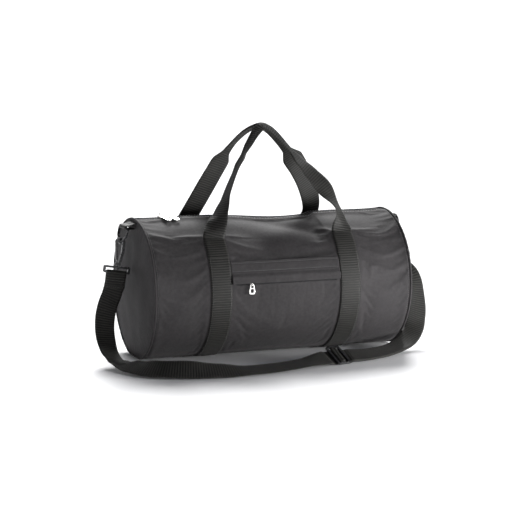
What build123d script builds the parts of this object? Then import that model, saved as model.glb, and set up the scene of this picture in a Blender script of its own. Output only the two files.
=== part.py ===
from build123d import *

import math
import os

# Barrel duffel bag. Millimetres, +Z up. The origin is on the ground under the middle of the bag,
# +X runs along the barrel to the right end and -Y is the front, where the zipped pocket is.

# ---------------------------------------------------------------- driving dimensions
bag_length = 500.0          # seam to seam
bag_radius = 130.0          # outside of the stuffed fabric barrel
fabric = 1.2                # thickness of the coated polyester wall
webbing = 1.6               # thickness of the strap webbing
webbing_width = 40.0        # handle and carrying webbing
base_flat = 32.0            # half width of the flat that the bag settles on
end_bulge = 6.0             # how far each end panel domes outwards
strap_x = 126.0             # centre line of each carrying strap
sewn_angle = 49.3           # carrying webbing is sewn on up to here, above the mid height

axis_height = math.sqrt((bag_radius + webbing) ** 2 - base_flat ** 2)
half_length = bag_length / 2
wall_inside = bag_radius - fabric
strap_outside = bag_radius + webbing

# the tape that binds each end seam inside
binding_thickness = 1.6
binding_width = 11.0
binding_flat = math.sqrt((wall_inside - binding_thickness) ** 2 - (axis_height - webbing - fabric) ** 2) + 2

# main zip, along the top
zip_slot_half = 11.0
tape_thickness = 0.8
tape_half_width = 17.0
coil_gap_half = 0.8
coil_width = 2.2
coil_height = 1.8

# pocket, behind the front wall between the carrying straps
pocket_half_width = 98.0
pocket_slot_low = 7.2       # degrees above the mid height
pocket_slot_high = 13.2
pocket_zip_angle = 10.2
pocket_depth = 7.6
pocket_bottom_angle = -38.0
pocket_top_angle = 17.2
lining = 0.8
flap_thickness = 0.9
flap_low = 8.3              # the flap stands proud over the zip, from here
flap_lift_end = 13.0        # to here, and lies on the barrel
flap_laid = 16.5            # from here
flap_high = 26.5
flap_lift = 2.7
flap_half_width = 105.5

# sliders and pulls
slider_length = 13.0
slider_half_width = 5.0
plate_thickness = 1.5
under_plate = 1.2
under_gap = 0.4             # between the tape and the lower plate
coil_clearance = 0.35
bridge_length = 6.0
flange = 1.0                # the upper plate's turned-down edges, and their gap to the tape
flange_drop = 0.6
slider_corner = 3.0
crown_bar = 1.1
crown_leg = 1.2
crown_width = 1.8
tongue_width = 3.6
pull_bar_radius = 0.6
pull_neck = 7.4             # width where the arms run into the tab
pull_neck_drop = 5.6
pull_shoulder_drop = 9.0
pull_arm_width = 1.6
pull_arm_length = 6.5
pull_hole = (6.0, 7.0)
pull_hole_up = 6.5          # its middle, above the end of the tab
pull_arm = 3.1              # each side arm of the pull's eye, from the middle
main_pull_length = 33.0
pocket_pull_length = 17.5
pull_width = 11.0
main_slider_x = (-199.0, -183.5)
main_pull_heading = 15.0    # the pulls lie across the zip, turned this far to the right
main_pull_slope = 12.0
pocket_slider_x = -69.0
pocket_crown_place = -7.4   # its crown stands below the flap

# handles
hinge_radius = strap_outside + 0.3 + webbing / 2
hinge_angle = 50.0
handle_lean = 22.4          # from the vertical, inwards
grip_width = 19.0
grip_thickness = 2 * webbing
handle_route = [(126, 0), (121, 26), (97, 83), (62, 138), (30, 184), (0, 206)]

# rings, hooks and shoulder strap
ring_bar_x = half_length + 18.0
ring_bar_z = 243.0
ring_wire = 2.25
ring_tilt = 15.0
ring_half_width = 27.0
ring_shoulder = (23.0, -17.0)
ring_height = 31.0
ring_corner = 5.0
hook_tilt = 8.5
eye_radius = 4.4
hook_wall = 3.0
hook_half_depth = 2.6
hook_back = 3.2              # the back leg's width, and its length down from the eye
hook_back_length = 18.0
hook_mouth_top = 3.2
hook_base_high = -36.0       # the swivel's boss, measured from the eye
hook_base_low = -41.0
gate_clearance = 0.6
gate_pivot_drop = 30.0
post_radius = 2.0
post_clearance = 0.06
head_gap = 0.4
head_radius = 3.4
head_thickness = 1.5
boss_width = 9.0
boss_depth = 8.4
loop_top = -43.0
loop_half_width = 25.5
loop_bar = 3.8
loop_slot = 5.6
shoulder_width = 38.0
adjuster_lean = 58.0         # the adjuster leans back on its edge
adjuster_place = (78.0, -184.0, 14.4)
adjuster_thickness = 3.6
adjuster_slot = 7.4
adjuster_slot_x = 6.8
adjuster_size = (30.0, 47.0)

os.makedirs("parts", exist_ok=True)


def finish(builder, name):
    """Labels a finished piece and writes it."""
    builder.part.label = name
    export_step(builder.part, f"parts/{name}.step")


def on_circle(radius, degrees):
    """A point of the barrel's section, as (y, z), with 0 degrees at the front and 90 at the top."""
    turn = math.radians(degrees)
    return (-radius * math.cos(turn), axis_height + radius * math.sin(turn))


def arc_band(inner, outer, low, high):
    """Draws a band of the barrel's section between two radii and two angles."""
    middle = (low + high) / 2
    with BuildLine() as outline:
        ThreePointArc(on_circle(inner, low), on_circle(inner, middle), on_circle(inner, high))
        Line(on_circle(inner, high), on_circle(outer, high))
        ThreePointArc(on_circle(outer, high), on_circle(outer, middle), on_circle(outer, low))
        Line(on_circle(outer, low), on_circle(inner, low))
    make_face(outline.edges())


def barrel_section(radius, flat_height):
    """Draws a disc of the barrel's section, cut off flat at the bottom."""
    with Locations((0, axis_height)):
        Circle(radius)
    with Locations((0, flat_height)):
        Rectangle(2 * radius, radius, align=(Align.CENTER, Align.MAX), mode=Mode.SUBTRACT)


def dome_radius(rim, rise):
    """The radius of an arc that rises so far over a half chord of this length."""
    return (rim ** 2 + rise ** 2) / (2 * rise)


# ---------------------------------------------------------------- fabric shell
with BuildPart() as body_panel:
    with BuildSketch(Plane.YZ.offset(-half_length)):
        barrel_section(bag_radius, webbing)
        with Locations((0, axis_height)):
            Circle(wall_inside, mode=Mode.SUBTRACT)
        with Locations((0, axis_height + bag_radius)):
            Rectangle(2 * zip_slot_half, bag_radius, mode=Mode.SUBTRACT)
    extrude(amount=bag_length)
    # the flat of the base, which closes the gap that the round inside leaves there
    base_half = math.sqrt(wall_inside ** 2 - (axis_height - webbing - fabric) ** 2)
    with BuildSketch(Plane.YZ.offset(-half_length)):
        with Locations((0, webbing)):
            Rectangle(2 * base_half, fabric, align=(Align.CENTER, Align.MIN))
    extrude(amount=bag_length)
    with BuildSketch(Plane.YZ.offset(-pocket_half_width)):
        arc_band(wall_inside - 1, bag_radius + 1, pocket_slot_low, pocket_slot_high)
    extrude(amount=2 * pocket_half_width, mode=Mode.SUBTRACT)
finish(body_panel, "body_panel")

for side, sign in (("left", -1), ("right", 1)):
    with BuildPart() as end_panel:
        with BuildSketch(Plane.XZ):
            rim = sign * half_length
            top = axis_height + bag_radius
            bulge = sign * (half_length + end_bulge)
            inside = bulge - sign * fabric
            outer_arc = sign * dome_radius(bag_radius, end_bulge)
            inner_arc = -sign * dome_radius(wall_inside, end_bulge - fabric)
            with BuildLine():
                Line((rim, axis_height + wall_inside), (rim, top))
                RadiusArc((rim, top), (bulge, axis_height), outer_arc)
                Line((bulge, axis_height), (inside, axis_height))
                RadiusArc((inside, axis_height), (rim, axis_height + wall_inside), inner_arc)
            make_face()
        revolve(axis=Axis((0, 0, axis_height), (1, 0, 0)))
        with BuildSketch(Plane.XY.offset(webbing)):
            with Locations((rim, 0)):
                Rectangle(4 * end_bulge, 2 * bag_radius)
        extrude(amount=-bag_radius, mode=Mode.SUBTRACT)
    finish(end_panel, f"end_panel_{side}")

    with BuildPart() as seam_binding:
        with BuildSketch(Plane.YZ.offset(sign * half_length)):
            with Locations((0, axis_height)):
                Circle(wall_inside)
                Circle(wall_inside - binding_thickness, mode=Mode.SUBTRACT)
            with Locations((0, axis_height + bag_radius)):
                Rectangle(2 * tape_half_width + 2, bag_radius, mode=Mode.SUBTRACT)
            with Locations((0, webbing + fabric)):
                Rectangle(2 * bag_radius, bag_radius, align=(Align.CENTER, Align.MAX), mode=Mode.SUBTRACT)
                Rectangle(2 * binding_flat, binding_thickness, align=(Align.CENTER, Align.MIN))
        extrude(amount=-sign * binding_width)
    finish(seam_binding, f"seam_binding_{side}")

# ---------------------------------------------------------------- carrying straps, under the bag
for side, sign in (("left", -1), ("right", 1)):
    with BuildPart() as carrying_strap:
        with BuildSketch(Plane.YZ.offset(sign * strap_x - webbing_width / 2)):
            barrel_section(strap_outside, 0)
            sewn_edge = on_circle(3 * bag_radius, sewn_angle)
            with Locations((0, axis_height)):
                Circle(bag_radius, mode=Mode.SUBTRACT)
            with BuildLine():
                Polyline((0, axis_height), sewn_edge, (-sewn_edge[0], sewn_edge[1]), close=True)
            make_face(mode=Mode.SUBTRACT)
        extrude(amount=webbing_width)
        # the webbing under the base lies flat against the flat of the fabric
        flat_half = math.sqrt(bag_radius ** 2 - (axis_height - webbing) ** 2)
        with BuildSketch(Plane.YZ.offset(sign * strap_x - webbing_width / 2)):
            Rectangle(2 * flat_half, webbing, align=(Align.CENTER, Align.MIN))
        extrude(amount=webbing_width)
    finish(carrying_strap, f"carrying_strap_{side}")

# ---------------------------------------------------------------- main zip
for side, turned in (("front", 0), ("rear", 180)):
    edge = math.degrees(math.acos(tape_half_width / wall_inside))
    inner_edge = math.degrees(math.acos(coil_gap_half / wall_inside))
    coil_edge = math.degrees(math.acos((coil_gap_half + coil_width) / wall_inside))
    low, high, start = edge, inner_edge, coil_edge
    if side == "rear":
        low, high, start = 180 - inner_edge, 180 - edge, 180 - inner_edge
    with BuildPart() as zip_tape:
        with BuildSketch(Plane.YZ.offset(-half_length)):
            arc_band(wall_inside - tape_thickness, wall_inside, low, high)
        extrude(amount=bag_length)
    finish(zip_tape, f"main_zip_tape_{side}")
    with BuildPart() as zip_coil:
        with BuildSketch(Plane.YZ.offset(-half_length)):
            arc_band(wall_inside, wall_inside + coil_height, start, start + inner_edge - coil_edge)
        extrude(amount=bag_length)
    finish(zip_coil, f"main_zip_coil_{side}")

# ---------------------------------------------------------------- front pocket
half_gap = math.degrees(coil_gap_half / wall_inside)
coil_span = math.degrees(coil_width / wall_inside)
pocket_tape_reach = 2.2     # degrees that each tape runs behind the edge of the slot
for side, near, far in (
    ("lower", pocket_zip_angle - half_gap, pocket_slot_low - pocket_tape_reach),
    ("upper", pocket_zip_angle + half_gap, pocket_slot_high + pocket_tape_reach),
):
    coil_far = near - coil_span if side == "lower" else near + coil_span
    with BuildPart() as pocket_tape:
        with BuildSketch(Plane.YZ.offset(-pocket_half_width - 4)):
            arc_band(wall_inside - tape_thickness, wall_inside, min(near, far), max(near, far))
        extrude(amount=2 * pocket_half_width + 8)
    finish(pocket_tape, f"pocket_zip_tape_{side}")
    with BuildPart() as pocket_coil:
        with BuildSketch(Plane.YZ.offset(-pocket_half_width)):
            arc_band(wall_inside, wall_inside + coil_height, min(near, coil_far), max(near, coil_far))
        extrude(amount=2 * pocket_half_width)
    finish(pocket_coil, f"pocket_zip_coil_{side}")

with BuildPart() as pocket_flap:
    with BuildSketch(Plane.YZ.offset(-flap_half_width)):
        arc_band(bag_radius + flap_lift, bag_radius + flap_lift + flap_thickness, flap_low, flap_lift_end)
        with BuildLine():
            Polyline(on_circle(bag_radius + flap_lift, flap_lift_end),
                     on_circle(bag_radius + flap_lift + flap_thickness, flap_lift_end),
                     on_circle(bag_radius + flap_thickness, flap_laid),
                     on_circle(bag_radius, flap_laid), close=True)
        make_face()
        arc_band(bag_radius, bag_radius + flap_thickness, flap_laid, flap_high)
    extrude(amount=2 * flap_half_width)
finish(pocket_flap, "pocket_flap")

with BuildPart() as pocket_lining:
    back = wall_inside - pocket_depth
    with BuildSketch(Plane.YZ.offset(-pocket_half_width - 6)):
        arc_band(back - lining, wall_inside, pocket_bottom_angle, pocket_top_angle)
    extrude(amount=2 * pocket_half_width + 12)
    with BuildSketch(Plane.YZ.offset(-pocket_half_width - 6 + lining)):
        arc_band(back, wall_inside + 1, pocket_bottom_angle + 0.5, pocket_top_angle - 0.5)
    extrude(amount=2 * (pocket_half_width + 6 - lining), mode=Mode.SUBTRACT)
finish(pocket_lining, "pocket_lining")


# ---------------------------------------------------------------- sliders and pulls
# In a slider's own plane x runs along the zip, y across it and z out of the fabric, with z = 0 on
# top of the tape.
def slider_on(base, name, crown_post, crown_rise, crown_place=0.0):
    """A slider: two plates joined by a thin bridge through the gap of the coil, and a crown.

    The crown's two legs stand this far either side of its own place across the slider. A crown
    that is placed beside the slider stands on a tongue of the upper plate.
    """
    plate_low = coil_height + coil_clearance
    plate_high = plate_low + plate_thickness
    under_high = -tape_thickness - under_gap
    under_low = under_high - under_plate
    crown_reach = crown_post + crown_leg / 2
    with BuildPart() as slider:
        with BuildSketch(base.offset(plate_low)):
            RectangleRounded(slider_length, 2 * slider_half_width, slider_corner)
            if crown_place:
                with Locations((0, (crown_place - crown_reach) / 2)):
                    Rectangle(tongue_width, crown_reach - crown_place)
        extrude(amount=plate_thickness)
        with BuildSketch(base.offset(under_low)):
            RectangleRounded(slider_length, 2 * slider_half_width, slider_corner)
        extrude(amount=under_plate)
        with BuildSketch(base.offset(under_high)):
            Rectangle(bridge_length, coil_gap_half)
        extrude(amount=plate_low - under_high)
        for side in (-1, 1):
            with BuildSketch(base.offset(flange_drop)):
                with Locations((0, side * (slider_half_width - flange / 2))):
                    Rectangle(slider_length - 2 * slider_corner, flange)
            extrude(amount=plate_low - flange_drop)
            with BuildSketch(base.offset(plate_high)):
                with Locations((0, crown_place + side * crown_post)):
                    Rectangle(crown_width, crown_leg)
            extrude(amount=crown_rise)
        with BuildSketch(base.offset(plate_high + crown_rise - crown_bar)):
            with Locations((0, crown_place)):
                Rectangle(crown_width, 2 * crown_reach)
        extrude(amount=crown_bar)
    finish(slider, name)
    return plate_high + (crown_rise - crown_bar) / 2


def pull_on(base, length, name):
    """A pull tab, whose bar lies along x of its plane and which points along -y."""
    with BuildPart() as pull:
        for across in (-1, 1):
            with BuildSketch(base.offset(-pull_bar_radius)):
                with Locations((across * pull_arm, 0)):
                    Rectangle(pull_arm_width, pull_arm_length + 2 * pull_bar_radius,
                              align=(Align.CENTER, Align.MAX))
            extrude(amount=2 * pull_bar_radius)
        with BuildSketch(base.offset(-pull_bar_radius)):
            Rectangle(2 * pull_arm, 2 * pull_bar_radius)
        extrude(amount=2 * pull_bar_radius)
        with BuildSketch(base.offset(-pull_bar_radius)):
            with BuildLine():
                Polyline((-pull_neck / 2, -pull_neck_drop), (pull_neck / 2, -pull_neck_drop),
                         (pull_width / 2, -pull_shoulder_drop), (pull_width / 2, -length),
                         (-pull_width / 2, -length), (-pull_width / 2, -pull_shoulder_drop), close=True)
            make_face()
            with Locations((0, pull_hole_up - length)):
                RectangleRounded(*pull_hole, 2, mode=Mode.SUBTRACT)
        extrude(amount=2 * pull_bar_radius)
        fillet(pull.edges().filter_by(lambda e: abs(e.length - 2 * pull_bar_radius) < 0.01)
               .sort_by(Axis(base.origin, -base.y_dir))[-2:], 3)
    finish(pull, name)


top_of_tape = axis_height + wall_inside
for label, x in zip(("left", "right"), main_slider_x):
    pivot_rise = slider_on(Plane((x, 0, top_of_tape)), f"main_slider_{label}", 3.7, 4.8)
    heading = math.radians(main_pull_heading)
    slope = math.radians(main_pull_slope)
    bar_way = Vector(math.cos(heading), math.sin(heading), 0)
    out_way = Vector(math.sin(slope) * math.sin(heading), -math.sin(slope) * math.cos(heading),
                     math.cos(slope))
    pull_plane = Plane((x, 0, top_of_tape + pivot_rise), x_dir=bar_way, z_dir=out_way)
    pull_on(pull_plane, main_pull_length, f"main_pull_{label}")

pocket_y, pocket_z = on_circle(wall_inside, pocket_zip_angle)
pocket_turn = math.radians(pocket_zip_angle)
pocket_out = Vector(0, -math.cos(pocket_turn), math.sin(pocket_turn))
pocket_plane = Plane((pocket_slider_x, pocket_y, pocket_z), x_dir=(1, 0, 0), z_dir=pocket_out)
pocket_rise = slider_on(pocket_plane, "pocket_slider", 1.7, 3.6, pocket_crown_place)
pocket_pivot = pocket_plane.origin + pocket_out * pocket_rise + pocket_plane.y_dir * pocket_crown_place
pull_on(Plane(pocket_pivot, x_dir=(1, 0, 0), z_dir=(0, -1, 0)), pocket_pull_length, "pocket_pull")

# ---------------------------------------------------------------- handles
for side, facing in (("front", 1), ("rear", -1)):
    hinge_y, hinge_z = on_circle(hinge_radius, hinge_angle)
    lean = math.radians(handle_lean)
    # x of the handle's plane runs along the bag, y up the handle
    outwards = Vector(0, -facing * math.cos(lean), math.sin(lean))
    handle_plane = Plane((0, facing * hinge_y, hinge_z), x_dir=(facing, 0, 0), z_dir=outwards)
    with BuildPart() as handle:
        for mirror_x in (-1, 1):
            leg = [(mirror_x * x, up) for x, up in handle_route[:4]]
            with BuildSketch(handle_plane.offset(-webbing / 2)):
                with BuildLine() as leg_line:
                    Polyline(*leg)
                trace(leg_line.wire(), webbing_width)
                with Locations((mirror_x * strap_x, 0)):
                    Rectangle(3 * webbing_width, webbing_width, align=(Align.CENTER, Align.MAX),
                              mode=Mode.SUBTRACT)
            extrude(amount=webbing)
        grip = [(-x, up) for x, up in handle_route[3:]] + handle_route[-2:2:-1]
        with BuildSketch(handle_plane.offset(-grip_thickness / 2)):
            with BuildLine() as grip_line:
                Polyline(*grip)
            trace(grip_line.wire(), grip_width)
        extrude(amount=grip_thickness)
    finish(handle, f"{side}_handle")

# ---------------------------------------------------------------- ring tabs, rings and hooks
for side, sign in (("left", -1), ("right", 1)):
    bar = (sign * ring_bar_x, ring_bar_z)
    with BuildPart() as ring_tab:
        with BuildSketch(Plane.XZ.offset(-webbing_width / 2)):
            with Locations(bar):
                Circle(ring_wire + 0.4 + webbing)
            with Locations((bar[0] - sign * 10, bar[1])):
                Rectangle(20, 2 * (ring_wire + 0.4 + webbing))
            with Locations(bar):
                Circle(ring_wire + 0.4, mode=Mode.SUBTRACT)
        extrude(amount=webbing_width)
        with BuildSketch(Plane.XZ):
            clear = sign * 0.1
            deep = sign * (half_length - 20)
            rim = sign * half_length + clear
            bulge = sign * (half_length + end_bulge) + clear
            top = axis_height + bag_radius
            with BuildLine():
                Polyline((bulge, axis_height), (deep, axis_height), (deep, top), (rim, top))
                RadiusArc((rim, top), (bulge, axis_height), sign * dome_radius(bag_radius, end_bulge))
            make_face()
        revolve(axis=Axis((0, 0, axis_height), (1, 0, 0)), mode=Mode.SUBTRACT)
    finish(ring_tab, f"ring_tab_{side}")

    tilt = math.radians(ring_tilt)
    ring_way = (math.cos(tilt), 0, sign * math.sin(tilt))
    ring_plane = Plane((bar[0], 0, bar[1]), x_dir=(0, 1, 0), z_dir=ring_way)
    with BuildPart() as ring:
        with BuildLine(ring_plane) as ring_line:
            FilletPolyline((ring_half_width, 0), ring_shoulder, (0, -ring_height),
                           (-ring_shoulder[0], ring_shoulder[1]), (-ring_half_width, 0),
                           radius=ring_corner, close=True)
        with BuildSketch(Plane(ring_line.wire() @ 0, z_dir=ring_line.wire() % 0)):
            Circle(ring_wire)
        sweep(path=ring_line.wire())
    finish(ring, f"d_ring_{side}")

    half_corner = math.atan2(ring_shoulder[0], ring_height + ring_shoulder[1])
    ring_drop = ring_height - ring_corner * (1 / math.sin(half_corner) - 1)
    eye = Vector(bar[0], 0, bar[1]) + Vector(sign * math.sin(tilt), 0, -math.cos(tilt)) * ring_drop
    lean = math.radians(hook_tilt)
    up = Vector(-sign * math.sin(lean), 0, math.cos(lean))
    # x of the hook's plane points from the gate to the back of the hook, which faces the bag
    face = Plane(eye, x_dir=(up.Z, 0, -up.X), z_dir=Vector((up.Z, 0, -up.X)).cross(up))
    back_side = -sign
    outer = eye_radius + hook_wall
    with BuildPart() as hook:
        with BuildSketch(face.offset(-hook_half_depth)):
            Circle(outer)
            with BuildLine():
                Polyline((back_side * outer, -17), (back_side * 4.0, -17), (back_side * 1.5, hook_base_high),
                         (back_side * -5, hook_base_high), (back_side * -5, hook_base_low),
                         (back_side * 5, hook_base_low), (back_side * 5.5, hook_base_high), close=True)
            make_face()
            Circle(eye_radius, mode=Mode.SUBTRACT)
            with Locations((-back_side * 2, -hook_mouth_top)):
                Rectangle(2 * outer + 1.4, 6.4, align=(Align.CENTER, Align.MAX), mode=Mode.SUBTRACT)
            with Locations((-back_side * (outer / 2 + 1), -1)):
                Rectangle(outer + 2, 14, align=(Align.CENTER, Align.MAX), mode=Mode.SUBTRACT)
            with Locations((back_side * (outer - hook_back / 2), -hook_back_length / 2)):
                Rectangle(hook_back, hook_back_length)
        extrude(amount=2 * hook_half_depth)
        with BuildSketch(Plane(eye + up * hook_base_low, z_dir=-up)):
            Circle(post_radius)
        extrude(amount=hook_base_low - loop_top + loop_bar + head_gap)
        with BuildSketch(Plane(eye + up * (loop_top - loop_bar - head_gap), z_dir=-up)):
            Circle(head_radius)
        extrude(amount=head_thickness)
    finish(hook, f"hook_{side}")

    with BuildPart() as gate:
        with BuildSketch(face.offset(gate_clearance - hook_half_depth)):
            with BuildLine():
                Polyline((-back_side * 4.9, -1.5), (-back_side * 7.2, -1.5),
                         (-back_side * 4.6, -gate_pivot_drop), (-back_side * 1.6, -gate_pivot_drop - 4),
                         (-back_side * 1.6, -gate_pivot_drop + 3), close=True)
            make_face()
        extrude(amount=2 * (hook_half_depth - gate_clearance))
    finish(gate, f"gate_{side}")

    with BuildPart() as strap_loop:
        with BuildSketch(face.offset(-loop_bar / 2 - 0.2)):
            height = 2 * loop_bar + loop_slot
            with Locations((0, loop_top - height / 2)):
                RectangleRounded(2 * loop_half_width, height, 3)
                Rectangle(shoulder_width + 4, loop_slot, mode=Mode.SUBTRACT)
        extrude(amount=loop_bar + 0.4)
        with BuildSketch(face.offset(-boss_depth / 2)):
            with Locations((0, loop_top - loop_bar / 2)):
                Rectangle(boss_width, loop_bar)
        extrude(amount=boss_depth)
        with BuildSketch(Plane(eye + up * loop_top, z_dir=-up)):
            Circle(post_radius + post_clearance)
        extrude(amount=loop_bar, mode=Mode.SUBTRACT)
    finish(strap_loop, f"strap_loop_{side}")
    if side == "left":
        strap_start = eye + up * (loop_top - 2 * loop_bar - loop_slot)
        strap_second = strap_start - up * 30
    else:
        strap_end = eye + up * (loop_top - 2 * loop_bar - loop_slot)
        strap_before_end = strap_end - up * 16

# ---------------------------------------------------------------- shoulder strap
# A round bar of the webbing's own section area stands for the flat webbing. It hangs from the left
# hook, lies leaning on the ground in front of the bag, and rises to the right hook.
strap_route = [
    tuple(strap_start),
    tuple(strap_second),
    (-306, -6, 96),
    (-315, -22, 58),
    (-315, -52, 22),
    (-312, -92, 13),
    (-300, -142, 12.5),
    (-274, -190, 15),
    (-226, -216, 15.5),
    (-165, -227, 11),
    (-100, -224, 6.5),
    (-14, -210, 7.5),
    tuple(adjuster_place),
    (130, -178, 9),
    (180, -157, 8),
    (228, -126, 11),
    (268, -98, 26),
    (292, -70, 56),
    (302, -46, 92),
    (303, -24, 126),
    tuple(strap_before_end),
    tuple(strap_end),
]
bar_radius = math.sqrt(shoulder_width * webbing / math.pi)
radii = []
for before, point, after in zip(strap_route, strap_route[1:], strap_route[2:]):
    way_in = Vector(*point) - Vector(*before)
    way_out = Vector(*after) - Vector(*point)
    turn = math.radians(way_in.get_angle(way_out))
    radii.append(0.45 * min(way_in.length, way_out.length) / math.tan(turn / 2))
with BuildPart() as shoulder_strap:
    with BuildLine() as strap_line:
        FilletPolyline(*strap_route, radius=radii)
    with BuildSketch(Plane(strap_line.wire() @ 0, z_dir=strap_line.wire() % 0)):
        Circle(bar_radius)
    sweep(path=strap_line.wire())
finish(shoulder_strap, "shoulder_strap")

print("strap radii", [round(r) for r in radii])
strap_length = strap_line.wire().length
print("strap length", round(strap_length, 1), "volume / (section x length)",
      round(shoulder_strap.part.volume / (math.pi * bar_radius ** 2 * strap_length), 4))

# the adjuster, a frame with a middle bar, on the strap in front of the bag
adjuster_along = Vector(0.96, 0.28, 0)
adjuster_turn = math.radians(adjuster_lean)
adjuster_face = Vector(adjuster_along.Y, -adjuster_along.X, 0) * math.cos(adjuster_turn)
adjuster_face += Vector(0, 0, math.sin(adjuster_turn))
adjuster_plane = Plane(adjuster_place, x_dir=adjuster_along, z_dir=adjuster_face)
with BuildPart() as adjuster:
    with BuildSketch(adjuster_plane.offset(-adjuster_thickness / 2)):
        RectangleRounded(*adjuster_size, 4)
        for side in (-1, 1):
            with Locations((side * adjuster_slot_x, 0)):
                Rectangle(adjuster_slot, shoulder_width + 2, mode=Mode.SUBTRACT)
    extrude(amount=adjuster_thickness)
finish(adjuster, "strap_adjuster")
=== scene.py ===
from math import acos, copysign, cos, hypot, pi, radians, sin, sqrt

import bmesh
import bpy
import numpy as np
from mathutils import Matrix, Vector, noise


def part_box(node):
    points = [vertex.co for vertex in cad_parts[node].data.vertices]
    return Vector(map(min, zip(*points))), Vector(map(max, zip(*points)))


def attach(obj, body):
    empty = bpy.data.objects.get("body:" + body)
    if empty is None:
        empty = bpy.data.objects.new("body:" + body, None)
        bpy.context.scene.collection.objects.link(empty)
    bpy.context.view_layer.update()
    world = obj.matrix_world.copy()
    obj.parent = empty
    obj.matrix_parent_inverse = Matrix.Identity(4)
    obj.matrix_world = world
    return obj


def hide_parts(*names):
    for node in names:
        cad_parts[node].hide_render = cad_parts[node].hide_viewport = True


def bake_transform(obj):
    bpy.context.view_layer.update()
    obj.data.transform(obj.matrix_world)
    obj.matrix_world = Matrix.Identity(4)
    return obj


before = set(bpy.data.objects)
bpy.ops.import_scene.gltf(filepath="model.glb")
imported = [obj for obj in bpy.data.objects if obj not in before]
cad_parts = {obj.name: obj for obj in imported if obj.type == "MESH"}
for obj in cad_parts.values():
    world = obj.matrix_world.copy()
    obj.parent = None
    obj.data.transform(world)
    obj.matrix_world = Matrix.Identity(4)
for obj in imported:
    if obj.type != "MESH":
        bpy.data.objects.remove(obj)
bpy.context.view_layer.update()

# The barrel duffel bag, in metres, in the CAD frame: +X along the barrel, -Y the front, +Z up.

# -------------------- sizes, read from the frame
panel_low, panel_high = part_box("body_panel")
strap_low, strap_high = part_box("carrying_strap_right")
HALF = panel_high[0]                      # half the barrel's length
RADIUS = panel_high[1]                    # outside of the fabric
BASE = panel_low[2]                       # underside of the fabric, on the webbing
WEB = strap_high[1] - RADIUS              # webbing thickness
BASE_FLAT = 0.032                         # half the width of the flat it stands on
AXIS = sqrt(strap_high[1] ** 2 - BASE_FLAT ** 2)
STRAP_X = (strap_low[0] + strap_high[0]) / 2
STRAP_WIDTH = strap_high[0] - strap_low[0]
FLAP_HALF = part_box("pocket_flap")[1][0]
ZIP_HALF = 0.011                          # half the opening over the main zip
POCKET_HALF = 0.098
SLOT_LOW, SLOT_HIGH = radians(7.2), radians(13.2)
POCKET_ZIP = radians(10.2)                # the middle of the pocket's slot
# the flap's lower edge, the ends of its slope down to the fabric, and its upper edge
FLAP_LOW, FLAP_LIFTED, FLAP_LAID, FLAP_HIGH = (radians(a) for a in (8.0, 13.0, 16.5, 26.5))
FLAP_LIFT = 0.0027                        # how far it stands off over the zip
SEWN = radians(30.0)                      # the ribbon of each handle starts here, on the barrel
SEWN_TOP = radians(50)                    # and leaves it here
ON_FABRIC = 0.0001                        # the gap below sewn webbing and stitches
FABRIC_THICKNESS = 0.0009                 # of the modelled sheets
STITCH_INSET = 0.0028                     # the stitches' distance from the edge of the carrying straps
BLEND_START, BLEND_REACH = radians(47), 0.018  # where the bend of a handle begins and ends
RING_TAB_WIDTH = 0.0395
HINGE = Vector((0.0, 0.0852979, 0.2293042))  # of the handles: 0.1327 from the axis, at SEWN_TOP
LEAN = radians(22.4)                      # of the handles' planes, towards each other
RIB = 0.0023                              # pitch of the webbing's ribs, and their height
RIB_HEIGHT = 0.0003
WEAVE_LOW, WEAVE_HIGH = 0.0030, 0.0076    # how the strap dips by its adjuster's bar and goes over it
SHOULDER_WIDTH = 0.038                    # of the shoulder strap
EYE_X, EYE_Z = 0.2758, 0.2139             # the right hook's eye; the left one mirrors it
HOOK_LEAN = radians(8.5)
EYE_EDGE = 0.0062                         # inside this distance of the eye a hook keeps its shape
HOOK_EXTRA = 0.0019                       # how much thicker a hook's walls are outside it
SLACK_MOST = 0.0042                       # the furthest that settling moves the fabric
# the settings of the cloth that settles
CLOTH = {"quality": 5, "mass": 0.2, "tension_stiffness": 14, "compression_stiffness": 10,
         "shear_stiffness": 6, "bending_stiffness": 0.25, "tension_damping": 8, "compression_damping": 8,
         "shear_damping": 8, "shrink_min": -0.006}
CLOTH_GRID = 150, 190                     # its points along the barrel and round it
LEFT_RIGHT = ("left", -1), ("right", 1)
FRONT_REAR = ("front", -1), ("rear", 1)


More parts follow.
